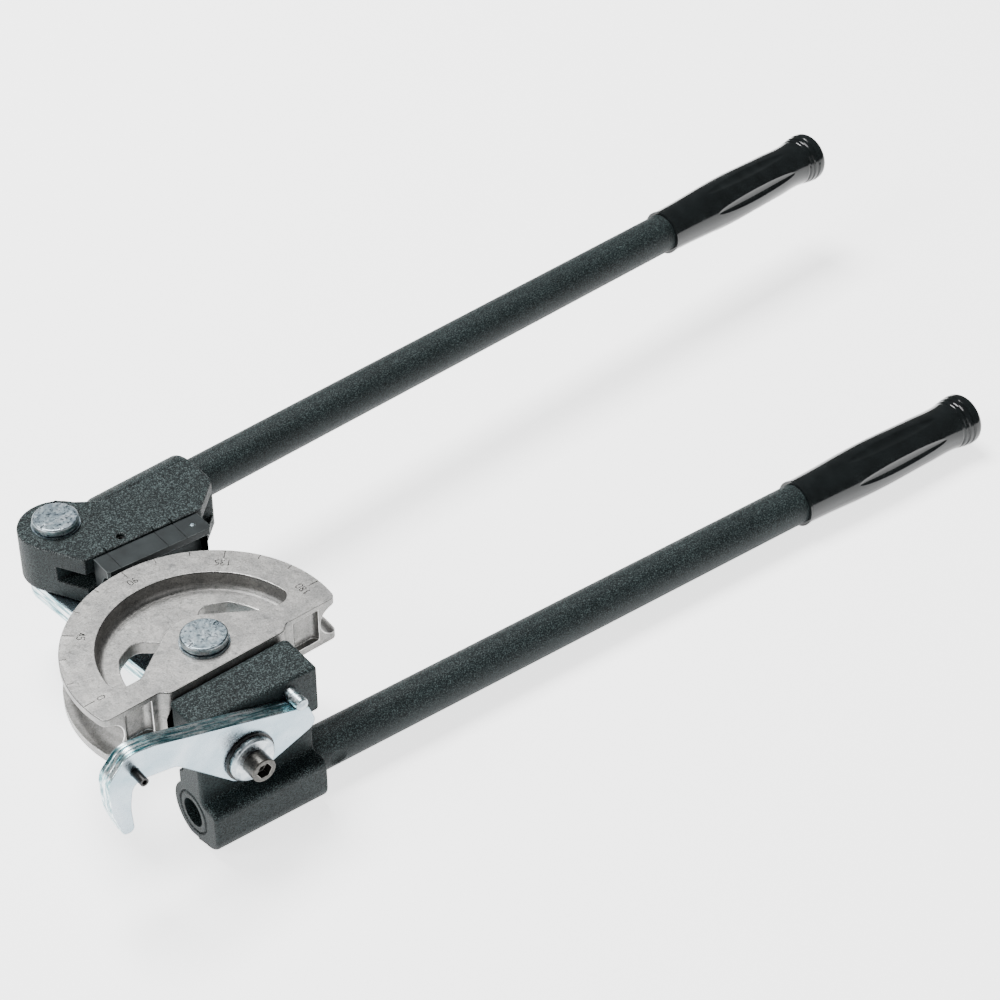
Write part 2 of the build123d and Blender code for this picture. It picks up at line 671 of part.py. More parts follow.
# ---- tube latch
# tube centre where the latch crosses it: the die's zero tangent, carried to the latch's mid plane
latch_y = (hook_back + hook_front) / 2
zero_x = -bend_radius * cos(radians(die_turn))
zero_y = -bend_radius * sin(radians(die_turn))
latch_tube_x = zero_x + (latch_y + zero_y) * tan(radians(die_turn))
latch_reach = hypot(latch_tube_x - hook_pivot_x, hook_pivot_z) + tube_od / 2 + 0.7
mouth_x = hook_pivot_x - latch_reach


def reach_point(angle):
    """Point of the finger's inner wall, which swings past the tube, at an angle above the pivot."""
    return hook_pivot_x - latch_reach * cos(radians(angle)), hook_pivot_z + latch_reach * sin(radians(angle))


def hook_outline():
    """Latch seen from the front: tail, swelling at the pivot, beam and down-turned finger."""
    FilletPolyline(
        (stop_pin_x + 5.0, stop_pin_z - stop_pin_radius - 1.7),
        (stop_pin_x + 10.0, -15.0),
        (hook_pivot_x + 8, hook_pivot_z - 14.5),
        (hook_pivot_x - 9.5, hook_pivot_z - 13.5),
        (-56.0, 3.0),
        reach_point(17),
        reach_point(4),
        reach_point(-10),
        (mouth_x - 5.8, -25.5),
        (mouth_x - 10.6, -8.0),
        (mouth_x - 10.9, 13.0),
        (mouth_x + 1.4, 26.0),
        (mouth_x + 17.0, 24.2),
        radius=(4, 6, 3, 6, 9, 7, 40, 3.2, 3.2, 15, 12, 12, 22),
        close=True,
    )


finger_x = mouth_x + 4.6
finger_z = 13.0
finger_radius = 2.5


def hook_plate_at(level):
    """One latch plate, with the bore for the sleeve and the hole for the finger pin."""
    with BuildPart() as plate:
        with BuildSketch(Plane.XZ.offset(level)):
            with BuildLine():
                hook_outline()
            make_face()
            with Locations((hook_pivot_x, hook_pivot_z)):
                Circle(hook_boss_radius)
                Circle(hook_bore_radius + pin_run_clear, mode=Mode.SUBTRACT)
            with Locations((finger_x, finger_z)):
                Circle(finger_radius, mode=Mode.SUBTRACT)
        extrude(amount=hook_plate)
        chamfer(plate.faces().group_by(Axis.Y)[0].edges().filter_by(lambda e: e.length > 20), 0.25)
    return plate.part


for index, name in enumerate(("rear", "middle", "front")):
    finish(hook_plate_at(hook_back + index * hook_plate), "hook_plate_" + name)

with BuildPart() as hook_finger_pin:
    with BuildSketch(Plane.XZ.offset(hook_back + 0.2)):
        with Locations((finger_x, finger_z)):
            Circle(finger_radius)
            Circle(finger_radius - 1.1, mode=Mode.SUBTRACT)
    extrude(amount=hook_front + 9.0 - hook_back)
finish(hook_finger_pin.part, "hook_finger_pin")

hook_axis_plane = Plane(origin=(hook_pivot_x, -head_face, hook_pivot_z), x_dir=(1, 0, 0), z_dir=(0, -1, 0))
stack = hook_stack - head_face
finish(ring(hook_axis_plane, screw_radius, hook_bore_radius, stack), "hook_bushing")
finish(
    ring(hook_axis_plane.offset(stack), screw_radius, spring_washer_radius, spring_washer_thick),
    "hook_spring_washer",
)
flange_seat = stack + spring_washer_thick

with BuildPart() as hook_flange_washer:
    with BuildSketch(hook_axis_plane.offset(flange_seat)):
        Circle(flange_radius)
    extrude(amount=flange_thick)
    chamfer(hook_flange_washer.edges().group_by(Axis.Y)[0], 1.2)
    with BuildSketch(hook_axis_plane.offset(flange_seat)):
        Circle(screw_radius)
    extrude(amount=flange_thick, mode=Mode.SUBTRACT)
finish(hook_flange_washer.part, "hook_flange_washer")

with BuildPart() as hook_screw:
    head_seat = flange_seat + flange_thick
    with BuildSketch(hook_axis_plane.offset(-screw_grip)):
        Circle(screw_radius)
    extrude(amount=screw_grip + head_seat)
    with BuildSketch(hook_axis_plane.offset(head_seat)):
        Circle(screw_head_radius)
    extrude(amount=screw_head_height)
    fillet(hook_screw.edges().group_by(Axis.Y)[0], 0.9)
    with BuildSketch(hook_axis_plane.offset(head_seat + screw_head_height - hex_depth)):
        RegularPolygon(hex_half, 6, major_radius=False)
    extrude(amount=hex_depth + 1, mode=Mode.SUBTRACT)
finish(hook_screw.part, "hook_screw")

with BuildPart() as hook_stop_pin:
    with BuildSketch(Plane.XZ.offset(head_face - stop_pin_in)):
        with Locations((stop_pin_x, stop_pin_z)):
            Circle(stop_pin_radius)
    extrude(amount=stop_pin_in + stop_pin_out)
    chamfer(hook_stop_pin.edges().group_by(Axis.Y)[0], 0.5)
finish(hook_stop_pin.part, "hook_stop_pin")

print("link length", round(link_length, 2), "upper pin at", round(pin_x, 2), round(pin_y, 2))
print("arm swing that closes the shoe on the tube", round(link_angle - 90 - arm_angle - shoe_lead, 2))
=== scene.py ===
import json
from math import cos, radians, sin

import bmesh
import bpy
import numpy as np
from mathutils import Matrix, Vector

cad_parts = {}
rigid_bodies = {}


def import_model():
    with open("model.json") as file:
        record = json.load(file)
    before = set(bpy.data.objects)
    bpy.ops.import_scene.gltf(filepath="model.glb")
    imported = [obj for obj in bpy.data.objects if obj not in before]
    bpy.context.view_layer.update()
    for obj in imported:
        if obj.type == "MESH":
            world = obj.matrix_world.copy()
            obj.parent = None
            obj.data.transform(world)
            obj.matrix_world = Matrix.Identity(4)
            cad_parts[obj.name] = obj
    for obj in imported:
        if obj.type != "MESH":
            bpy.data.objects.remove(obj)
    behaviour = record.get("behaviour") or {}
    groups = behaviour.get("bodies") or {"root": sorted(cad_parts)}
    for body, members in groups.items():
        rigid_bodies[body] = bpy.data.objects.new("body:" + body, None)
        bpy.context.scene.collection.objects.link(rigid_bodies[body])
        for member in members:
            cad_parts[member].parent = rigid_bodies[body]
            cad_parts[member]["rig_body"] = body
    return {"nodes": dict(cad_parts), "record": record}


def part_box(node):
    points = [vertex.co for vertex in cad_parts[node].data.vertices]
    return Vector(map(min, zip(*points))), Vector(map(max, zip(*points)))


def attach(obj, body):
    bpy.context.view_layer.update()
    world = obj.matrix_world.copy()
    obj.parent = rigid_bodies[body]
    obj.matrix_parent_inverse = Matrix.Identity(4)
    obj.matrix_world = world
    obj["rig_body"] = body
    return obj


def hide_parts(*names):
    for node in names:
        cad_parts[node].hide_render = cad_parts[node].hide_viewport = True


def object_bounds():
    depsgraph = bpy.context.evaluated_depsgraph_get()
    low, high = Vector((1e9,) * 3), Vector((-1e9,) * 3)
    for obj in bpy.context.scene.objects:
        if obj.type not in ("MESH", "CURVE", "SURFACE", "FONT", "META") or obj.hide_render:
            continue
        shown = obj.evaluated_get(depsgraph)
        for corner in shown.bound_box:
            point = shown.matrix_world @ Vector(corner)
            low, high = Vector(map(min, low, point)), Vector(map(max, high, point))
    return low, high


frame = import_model()
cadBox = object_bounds()
mm = 0.001
print("frame loaded", len(frame["nodes"]), "nodes")


# An empty material with its shader.
def newMaterial(name):
    material = bpy.data.materials.new(name)
    material.use_nodes = True
    tree = material.node_tree
    shader = tree.nodes["Principled BSDF"]
    return material, tree, shader


# Object coordinates, turned and then stretched.
def objectPoint(tree, stretch=(1, 1, 1), turn=(0, 0, 0)):
    coordinates = tree.nodes.new("ShaderNodeTexCoord")
    mapping = tree.nodes.new("ShaderNodeMapping")
    mapping.inputs["Rotation"].default_value = [radians(a) for a in turn]
    mapping.inputs["Scale"].default_value = stretch
    tree.links.new(coordinates.outputs["Object"], mapping.inputs["Vector"])
    return mapping.outputs["Vector"]


# Noise whose lumps are about the given size in metres.
def noise(tree, point, size, detail=3.0, rough=0.55, distortion=0.0):
    node = tree.nodes.new("ShaderNodeTexNoise")
    node.inputs["Scale"].default_value = 1.0 / size
    node.inputs["Detail"].default_value = detail
    node.inputs["Roughness"].default_value = rough
    node.inputs["Distortion"].default_value = distortion
    tree.links.new(point, node.inputs["Vector"])
    return node.outputs["Fac"]


# Colours along a value; each stop is a place and a colour.
def ramp(tree, value, stops):
    node = tree.nodes.new("ShaderNodeValToRGB")
    band = node.color_ramp
    for index, (place, colour) in enumerate(stops):
        element = band.elements[index] if index < 2 else band.elements.new(place)
        element.position = place
        element.color = (*colour, 1) if len(colour) == 3 else colour
    tree.links.new(value, node.inputs["Fac"])
    return node.outputs["Color"]


# The value carried from one range to another.
def spread(tree, value, low, high, fromLow=0.0, fromHigh=1.0):
    node = tree.nodes.new("ShaderNodeMapRange")
    node.inputs["From Min"].default_value = fromLow
    node.inputs["From Max"].default_value = fromHigh
    node.inputs["To Min"].default_value = low
    node.inputs["To Max"].default_value = high
    tree.links.new(value, node.inputs["Value"])
    return node.outputs["Result"]


# Two colours mixed by a factor, which is a number or a socket.
def mixed(tree, factor, first, second, way="MIX"):
    node = tree.nodes.new("ShaderNodeMix")
    node.data_type = "RGBA"
    node.blend_type = way
    sockets = (node.inputs[0], node.inputs[6], node.inputs[7])
    for socket, value in zip(sockets, (factor, first, second)):
        if isinstance(value, bpy.types.NodeSocket):
            tree.links.new(value, socket)
        elif isinstance(value, (int, float)):
            socket.default_value = value
        else:
            socket.default_value = (*value, 1)
    return node.outputs[2]


# Two values through one sum.
def combined(tree, first, second, operation="ADD"):
    node = tree.nodes.new("ShaderNodeMath")
    node.operation = operation
    for socket, value in zip(node.inputs, (first, second)):
        if isinstance(value, bpy.types.NodeSocket):
            tree.links.new(value, socket)
        else:
            socket.default_value = value
    return node.outputs[0]


# Bump of a real depth in metres, over an earlier bump if one is given.
def bumped(tree, shader, height, depth, strength=1.0, under=None):
    node = tree.nodes.new("ShaderNodeBump")
    node.inputs["Strength"].default_value = strength
    node.inputs["Distance"].default_value = depth
    tree.links.new(height, node.inputs["Height"])
    if under is not None:
        tree.links.new(under, node.inputs["Normal"])
    tree.links.new(node.outputs["Normal"], shader.inputs["Normal"])
    return node.outputs["Normal"]


# One part of the surface's own normal, without its sign unless the sign is asked for.
def normalPart(tree, axis, unsigned=True):
    coordinates = tree.nodes.new("ShaderNodeTexCoord")
    parts = tree.nodes.new("ShaderNodeSeparateXYZ")
    tree.links.new(coordinates.outputs["Normal"], parts.inputs["Vector"])
    value = parts.outputs[axis]
    return combined(tree, value, 0.0, "ABSOLUTE") if unsigned else value


# How far the surface looks up, from 0 to 1.
def facingUp(tree):
    return spread(tree, normalPart(tree, 2, False), 0.0, 1.0)


# Wrinkle powder coat: fine lumps with dark valleys and pale, drier peaks. Faces that look up get
# much paler peaks: painted light from overhead.
def powderCoat(name, look):
    material, tree, shader = newMaterial(name)
    point = objectPoint(tree)
    grain = noise(tree, point, look["grain"], 3.0, 0.6, 0.2)
    patches = noise(tree, point, look["patch"], 2.0)
    facing = facingUp(tree)
    low = ramp(tree, grain, ((0.4, look["valley"]), (0.5, look["body"]), (0.64, look["soft"])))
    # on faces that look up the peaks turn much paler: painted light from above
    high = ramp(tree, grain, ((0.42, look["valley"]), (0.52, look["body"]), (0.62, look["toplitPeak"])))
    specksWithPaintedToplight = mixed(tree, spread(tree, facing, 0.0, 1.0, 0.1, 0.75), low, high)
    tone = ramp(tree, patches, ((0.3, (0.82, 0.82, 0.82)), (0.7, (1.1, 1.1, 1.1))))
    tree.links.new(mixed(tree, 1.0, specksWithPaintedToplight, tone, "MULTIPLY"), shader.inputs["Base Color"])
    roughness = spread(tree, grain, look["rough"][1], look["rough"][0], 0.35, 0.7)
    tree.links.new(roughness, shader.inputs["Roughness"])
    shader.inputs["Specular IOR Level"].default_value = 0.2
    bumped(tree, shader, grain, look["depth"])
    return material


castLook = {
    "grain": 0.72 * mm,
    "patch": 22 * mm,
    "valley": (0.0012, 0.003, 0.0034),
    "body": (0.0075, 0.0145, 0.0152),
    "soft": (0.0125, 0.021, 0.022),
    # pale peak colour for faces that look up: painted light from above
    "toplitPeak": (0.078, 0.103, 0.103),
    "rough": (0.46, 0.68),
    "depth": 0.3 * mm,
}
tubeLook = {
    "grain": 0.62 * mm,
    "patch": 30 * mm,
    "valley": (0.0012, 0.003, 0.0034),
    "body": (0.0065, 0.013, 0.0137),
    "soft": (0.0105, 0.0185, 0.0192),
    # pale peak colour for faces that look up: painted light from above
    "toplitPeak": (0.062, 0.083, 0.083),
    "rough": (0.44, 0.66),
    "depth": 0.22 * mm,
}
# paler colours for the castings' rounded edges: a painted highlight along each edge, and paler peaks on
# faces that look up as painted light from above
castEdgeHighlightLook = dict(
    castLook,
    body=(0.03, 0.037, 0.038),
    soft=(0.045, 0.054, 0.055),
    toplitPeak=(0.12, 0.135, 0.135),
)
dieLook = {
    "mottle": 0.9 * mm,
    "cloud": 13 * mm,
    "stain": 5 * mm,
    "dark": (0.17, 0.168, 0.162),
    "body": (0.285, 0.282, 0.273),
    "pale": (0.39, 0.386, 0.377),
    "engraving": (0.05, 0.05, 0.047),
    "engravedFrom": 14.0 * mm,
    "engravedTo": 14.45 * mm,
    "lump": 3.5 * mm,
    "lumpShare": 2.5,
    "metallic": 0.82,
    "rough": (0.38, 0.56),
    "depth": 0.06 * mm,
}
# much paler colours for the die's rounded edges: a painted highlight along each edge
dieEdgeHighlightLook = dict(
    dieLook,
    dark=(0.55, 0.55, 0.54),
    body=(0.74, 0.74, 0.72),
    pale=(0.88, 0.88, 0.86),
    rough=(0.24, 0.38),
)


# Tumbled cast aluminium: fine mottling and grey stains in patches, dark in its engraving, which lies
# between two heights.
def castAluminium(name, look):
    material, tree, shader = newMaterial(name)
    point = objectPoint(tree)
    fine = noise(tree, point, look["mottle"], 5.0, 0.65)
    cloud = noise(tree, point, look["cloud"], 4.0, 0.6, 0.4)
    stain = noise(tree, point, look["stain"], 5.0, 0.7, 0.8)
    mottled = ramp(tree, fine, ((0.3, look["dark"]), (0.5, look["body"]), (0.7, look["pale"])))
    clouded = ramp(tree, cloud, ((0.32, (0.72, 0.725, 0.73)), (0.66, (1.12, 1.11, 1.1))))
    stained = ramp(tree, stain, ((0.34, (0.7, 0.71, 0.72)), (0.46, (1.0, 1.0, 1.0))))
    base = mixed(tree, 1.0, mixed(tree, 1.0, mottled, clouded, "MULTIPLY"), stained, "MULTIPLY")
    split = tree.nodes.new("ShaderNodeSeparateXYZ")
    tree.links.new(point, split.inputs["Vector"])
    over = combined(tree, split.outputs["Z"], look["engravedFrom"], "GREATER_THAN")
    under = combined(tree, split.outputs["Z"], look["engravedTo"], "LESS_THAN")
    engraved = combined(tree, over, under, "MULTIPLY")
    tree.links.new(mixed(tree, engraved, base, look["engraving"]), shader.inputs["Base Color"])
    shader.inputs["Metallic"].default_value = look["metallic"]
    tree.links.new(spread(tree, fine, *look["rough"], 0.3, 0.7), shader.inputs["Roughness"])
    lumps = noise(tree, point, look["lump"], 2.0)
    height = combined(tree, fine, combined(tree, lumps, look["lumpShare"], "MULTIPLY"))
    bumped(tree, shader, height, look["depth"])
    return material


# Bright zinc on rolled plate. The faces stay pale, and the cut edges carry a streaky teal film.
def zincPlate(name, look):
    material, tree, shader = newMaterial(name)
    point = objectPoint(tree)
    film = noise(tree, point, look["film"], 3.0, 0.5, 0.6)
    fine = noise(tree, point, look["mottle"], 4.0, 0.6)
    streaks = noise(tree, objectPoint(tree, look["streakStretch"]), look["streak"], 3.0, 0.6)
    face = ramp(tree, film, look["tints"])
    edge = ramp(tree, streaks, look["edgeTints"])
    side = combined(tree, 1.0, normalPart(tree, look["faceAxis"]), "SUBTRACT")
    cut = spread(tree, side, 0.0, look["edgeAmount"], 0.15, 0.7)
    tint = mixed(tree, cut, face, edge)
    tone = ramp(tree, fine, ((0.3, look["toneLow"]), (0.7, (1.04, 1.04, 1.04))))
    tree.links.new(mixed(tree, 1.0, tint, tone, "MULTIPLY"), shader.inputs["Base Color"])
    shader.inputs["Metallic"].default_value = 1.0
    tree.links.new(spread(tree, fine, *look["rough"], 0.3, 0.7), shader.inputs["Roughness"])
    bumped(tree, shader, fine, look["depth"])
    return material


hookLook = {
    "film": 22 * mm,
    "mottle": 1.8 * mm,
    "streak": 3 * mm,
    "streakStretch": (0.18, 1.6, 0.5),
    "tints": ((0.3, (0.25, 0.345, 0.4)), (0.5, (0.33, 0.415, 0.465)), (0.66, (0.42, 0.49, 0.54))),
    "edgeTints": ((0.38, (0.05, 0.17, 0.2)), (0.48, (0.28, 0.46, 0.49)), (0.6, (0.8, 0.86, 0.87))),
    "toneLow": (0.93, 0.93, 0.93),
    "faceAxis": 1,
    "edgeAmount": 1.0,
    "rough": (0.24, 0.34),
    "depth": 0.01 * mm,
}
linkLook = dict(hookLook, faceAxis=2, streakStretch=(0.5, 0.18, 1.6))
pinLook = {
    "film": 6 * mm,
    "mottle": 1.5 * mm,
    "streak": 3 * mm,
    "streakStretch": (0.5, 0.5, 1.8),
    "tints": ((0.32, (0.17, 0.21, 0.24)), (0.5, (0.27, 0.33, 0.36)), (0.66, (0.42, 0.47, 0.5))),
    "edgeTints": ((0.36, (0.22, 0.36, 0.38)), (0.5, (0.6, 0.68, 0.7)), (0.62, (0.8, 0.82, 0.82))),
    "toneLow": (0.66, 0.68, 0.7),
    "faceAxis": 2,
    "edgeAmount": 0.8,
    "rough": (0.22, 0.44),
    "depth": 0.05 * mm,
}
stopLook = dict(
    pinLook,
    faceAxis=1,
    streakStretch=(0.5, 1.8, 0.5),
    tints=((0.32, (0.24, 0.28, 0.31)), (0.5, (0.4, 0.45, 0.48)), (0.66, (0.56, 0.6, 0.62))),
)


# Oiled black oxide on a turned fastener.
def blackOxide(name, look):
    material, tree, shader = newMaterial(name)
    point = objectPoint(tree)
    fine = noise(tree, point, look["mottle"], 4.0)
    base = ramp(tree, fine, ((0.3, look["dark"]), (0.7, look["body"])))
    tree.links.new(base, shader.inputs["Base Color"])
    shader.inputs["Metallic"].default_value = look["metallic"]
    tree.links.new(spread(tree, fine, *look["rough"], 0.3, 0.7), shader.inputs["Roughness"])
    bumped(tree, shader, fine, look["depth"])
    return material


screwLook = {
    "mottle": 1.2 * mm,
    "dark": (0.03, 0.03, 0.028),
    "body": (0.085, 0.082, 0.075),
    "metallic": 0.85,
    "rough": (0.26, 0.42),
    "depth": 0.012 * mm,
}
# paler colours for the rounded edges of black oxide parts: a painted highlight along each edge
screwEdgeHighlightLook = dict(screwLook, dark=(0.12, 0.118, 0.11), body=(0.3, 0.29, 0.27))
springLook = dict(screwLook, dark=(0.004, 0.004, 0.004), body=(0.012, 0.012, 0.012), metallic=0.4)


# Smooth dark phosphate on the machined shoe.
def darkShoe(name, look):
    material, tree, shader = newMaterial(name)
    point = objectPoint(tree)
    cloud = noise(tree, point, look["cloud"], 3.0)
    fine = noise(tree, point, look["mottle"], 3.0)
    base = ramp(tree, cloud, ((0.3, look["dark"]), (0.7, look["body"])))
    tree.links.new(base, shader.inputs["Base Color"])
    shader.inputs["Metallic"].default_value = 0.3
    shader.inputs["Specular IOR Level"].default_value = 0.3
    tree.links.new(spread(tree, fine, *look["rough"], 0.3, 0.7), shader.inputs["Roughness"])
    bumped(tree, shader, fine, look["depth"])
    return material


shoeLook = {
    "cloud": 12 * mm,
    "mottle": 0.7 * mm,
    "dark": (0.01, 0.0135, 0.0145),
    "body": (0.02, 0.026, 0.0275),
    "rough": (0.36, 0.52),
    "depth": 0.02 * mm,
}
# paler colours for the shoe's rounded edges: a painted highlight along each edge
shoeEdgeHighlightLook = dict(shoeLook, dark=(0.06, 0.07, 0.07), body=(0.13, 0.15, 0.15))
vinylLook = {
    "haze": 9 * mm,
    "flow": 26 * mm,
    "dark": (0.005, 0.0065, 0.0067),
    "pale": (0.009, 0.0115, 0.012),
    "rough": (0.11, 0.2),
    "depth": 0.2 * mm,
}


# Gloss black moulded vinyl with faint handling haze and a slow flow of the surface.
def glossGrip(name, look):
    material, tree, shader = newMaterial(name)
    point = objectPoint(tree)
    haze = noise(tree, point, look["haze"], 3.0)
    flow = noise(tree, point, look["flow"], 1.0)
    base = ramp(tree, haze, ((0.3, look["dark"]), (0.7, look["pale"])))
    tree.links.new(base, shader.inputs["Base Color"])
    tree.links.new(spread(tree, haze, *look["rough"], 0.35, 0.75), shader.inputs["Roughness"])
    shader.inputs["Specular IOR Level"].default_value = 0.3
    shader.inputs["Coat Weight"].default_value = 0.12
    shader.inputs["Coat Roughness"].default_value = 0.07
    bumped(tree, shader, flow, look["depth"], 0.6)
    return material


bronzeLook = {
    "mottle": 1.0 * mm,
    "dark": (0.42, 0.26, 0.11),
    "body": (0.6, 0.4, 0.2),
    "rough": (0.3, 0.45),
    "depth": 0.01 * mm,
}


# Plain bearing bronze.
def bearingBronze(name, look):
    material, tree, shader = newMaterial(name)
    fine = noise(tree, objectPoint(tree), look["mottle"], 3.0)
    base = ramp(tree, fine, ((0.3, look["dark"]), (0.7, look["body"])))
    tree.links.new(base, shader.inputs["Base Color"])
    shader.inputs["Metallic"].default_value = 1.0
    tree.links.new(spread(tree, fine, *look["rough"]), shader.inputs["Roughness"])
    bumped(tree, shader, fine, look["depth"])
    return material


finishes = {
    "cast_black": powderCoat("castPowderCoat", castLook),
    "tube_black": powderCoat("tubePowderCoat", tubeLook),
    "grip_black": glossGrip("glossGripVinyl", vinylLook),
    "die_aluminium": castAluminium("tumbledAluminium", dieLook),
    "zinc_plate": zincPlate("zincOnHook", hookLook),
    "zinc_pin": zincPlate("zincOnPins", pinLook),
    "black_steel": blackOxide("blackOxideSteel", screwLook),
    "shoe_steel": darkShoe("darkShoeSteel", shoeLook),
    "bushing_bronze": bearingBronze("bearingBronze", bronzeLook),
}
linkZinc = zincPlate("zincOnLink", linkLook)
stopZinc = zincPlate("zincOnStopPin", stopLook)
springBlack = blackOxide("springBlackSteel", springLook)
# pieces whose finish differs a little from the rest of their slot
ownFinish = {
    "link_plate_top": linkZinc,
    "link_plate_middle": linkZinc,
    "link_plate_bottom": linkZinc,
    "hook_stop_pin": stopZinc,
    "hook_flange_washer": stopZinc,
    "hook_spring_washer": springBlack,
    "hook_finger_pin": springBlack,
    "shoe_roll_pins": springBlack,
}
slotOf = {part["node"]: part["material_slot"] for part in frame["record"]["subparts"]}
for nodeName, node in frame["nodes"].items():
    node.data.materials.clear()
    node.data.materials.append(ownFinish.get(nodeName, finishes[slotOf[nodeName]]))
# what the rounded edges of a slot's pieces are given: paler colours, a painted highlight along each edge
paintedEdgeHighlightFinishes = {
    "cast_black": powderCoat("castPowderCoatEdgeHighlight", castEdgeHighlightLook),
    "die_aluminium": castAluminium("tumbledAluminiumEdgeHighlight", dieEdgeHighlightLook),
    "black_steel": blackOxide("blackOxideEdgeHighlight", screwEdgeHighlightLook),
    "shoe_steel": darkShoe("darkShoeEdgeHighlight", shoeEdgeHighlightLook),
}
print("materials made")


# The body that a CAD node belongs to.
def bodyOf(nodeName):
    return frame["nodes"][nodeName]["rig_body"]


# angles in degrees
rounding = {
    "weld": 0.002 * mm,
    "flat": 0.4,
    "roundFrom": 32,
    "sharpFrom": 35,
    "segments": 2,
}


# A copy of a node, welded, with its sharp edges rounded by a small bevel. An edge is rounded if its
# faces meet at more than the given angle and edge["keep"] doesn't name its place.
def softened(nodeName, edge):
    mesh = frame["nodes"][nodeName].data.copy()
    piece = bpy.data.objects.new(nodeName + "_finished", mesh)
    bpy.context.scene.collection.objects.link(piece)
    work = bmesh.new()
    work.from_mesh(mesh)
    bmesh.ops.remove_doubles(work, verts=work.verts, dist=rounding["weld"])
    bmesh.ops.dissolve_limit(
        work, angle_limit=radians(rounding["flat"]), verts=work.verts, edges=work.edges
    )
    weights = work.edges.layers.float.new("bevel_weight_edge")
    keep = edge.get("keep", lambda place: False)
    for line in work.edges:
        if not line.is_manifold:
            continue
        turned = line.calc_face_angle(0.0) > radians(rounding["roundFrom"])
        middle = (line.verts[0].co + line.verts[1].co) / 2
        line[weights] = 1.0 if turned and not keep(middle) else 0.0
    work.to_mesh(mesh)
    work.free()
    bevel = piece.modifiers.new("roundedEdges", "BEVEL")
    bevel.width = edge["width"]
    bevel.segments = rounding["segments"]
    bevel.limit_method = "WEIGHT"
    bevel.use_clamp_overlap = False
    bevel.miter_outer = "MITER_SHARP"
    # the bevels take the slot's paler edge finish, a painted highlight along the edges
    if slotOf[nodeName] in paintedEdgeHighlightFinishes:
        mesh.materials.append(paintedEdgeHighlightFinishes[slotOf[nodeName]])
        bevel.material = 1
    mesh.shade_smooth()
    mesh.set_sharp_from_angle(angle=radians(rounding["sharpFrom"]))
    weighted = piece.modifiers.new("flatNormals", "WEIGHTED_NORMAL")
    weighted.keep_sharp = True
    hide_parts(nodeName)
    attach(piece, bodyOf(nodeName))
    return piece


engraving = {"above": 14.0 * mm, "from": 59.5 * mm, "to": 76.6 * mm}
notches = {"above": 13.0 * mm, "fromPin": (10.3 * mm, 40.8 * mm, 52.8 * mm), "within": 0.8 * mm}
pinLow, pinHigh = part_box("yoke_pivot_pin")
pinMiddle = (pinLow + pinHigh) / 2


# Engraving on the die's flat ring stays crisp: it lies high up and between two radii.
def dieEngraving(place):
    reach = (place.x**2 + place.y**2) ** 0.5
    return place.z > engraving["above"] and engraving["from"] < reach < engraving["to"]


# Index notches on the shoe and the yoke stay crisp too: they lie at set distances from the yoke pin.
def indexNotch(place):
    nearest = min(abs(place.x - pinMiddle.x - line) for line in notches["fromPin"])
    return place.z > notches["above"] and nearest < notches["within"]


softEdges = {
    "fixed_head": {"width": 0.7 * mm},
    "bending_yoke": {"width": 0.7 * mm, "keep": indexNotch},
    "forming_die": {"width": 0.45 * mm, "keep": dieEngraving},
    "forming_shoe": {"width": 0.3 * mm, "keep": indexNotch},
    "hook_plate_front": {"width": 0.3 * mm},
    "hook_plate_middle": {"width": 0.3 * mm},
    "hook_plate_rear": {"width": 0.3 * mm},
    "link_plate_top": {"width": 0.3 * mm},
    "link_plate_middle": {"width": 0.3 * mm},
    "link_plate_bottom": {"width": 0.3 * mm},
    "die_pivot_pin": {"width": 0.25 * mm},
    "yoke_pivot_pin": {"width": 0.25 * mm},
    "hook_stop_pin": {"width": 0.25 * mm},
    "hook_flange_washer": {"width": 0.3 * mm},
    "hook_screw": {"width": 0.25 * mm},
}
for nodeName, edge in softEdges.items():
    softened(nodeName, edge)
print("edges softened on", len(softEdges), "pieces")

gripShape = {
    "length": 147.5 * mm,
    "bore": 12.75 * mm,
    "floor": 8.0 * mm,  # solid end
    "places": (0.0, 0.12, 0.42, 0.70, 0.86, 0.95, 1.0),  # shares of the length
    "radii": (14.2, 14.7, 16.4, 15.5, 15.1, 16.8, 16.8),  # mm
    "noseStart": 0.95,
    "collarLength": 1.8 * mm,
    "collarHeight": 0.5 * mm,
    "flutes": 6,
    "fluteTurn": 12.0,  # degrees
    "fluteSpan": (0.27, 0.78),
    "fluteHalf": 13.5,  # degrees
    "fluteDepth": 1.25 * mm,
    "rings": (0.885, 0.912, 0.939),
    "ringHalf": 0.9 * mm,
    "ringDepth": 0.75 * mm,
    "around": 288,
    "along": 270,
    "noseRows": 28,
    "sharpFrom": 28,  # degrees
}


# A smooth curve through given points: on each stretch the cubic whose end slopes are the mean slopes
# there.
def smoothThrough(places, values, at):
    slopes = np.gradient(values, places)
    stretch = np.clip(np.searchsorted(places, at, side="right") - 1, 0, len(places) - 2)
    width = places[stretch + 1] - places[stretch]
    t = (at - places[stretch]) / width
    first = (1 + 2 * t) * (1 - t) ** 2 * values[stretch] + t * (1 - t) ** 2 * width * slopes[stretch]
    last = t * t * (3 - 2 * t) * values[stretch + 1] - t * t * (1 - t) * width * slopes[stretch + 1]
    return first + last


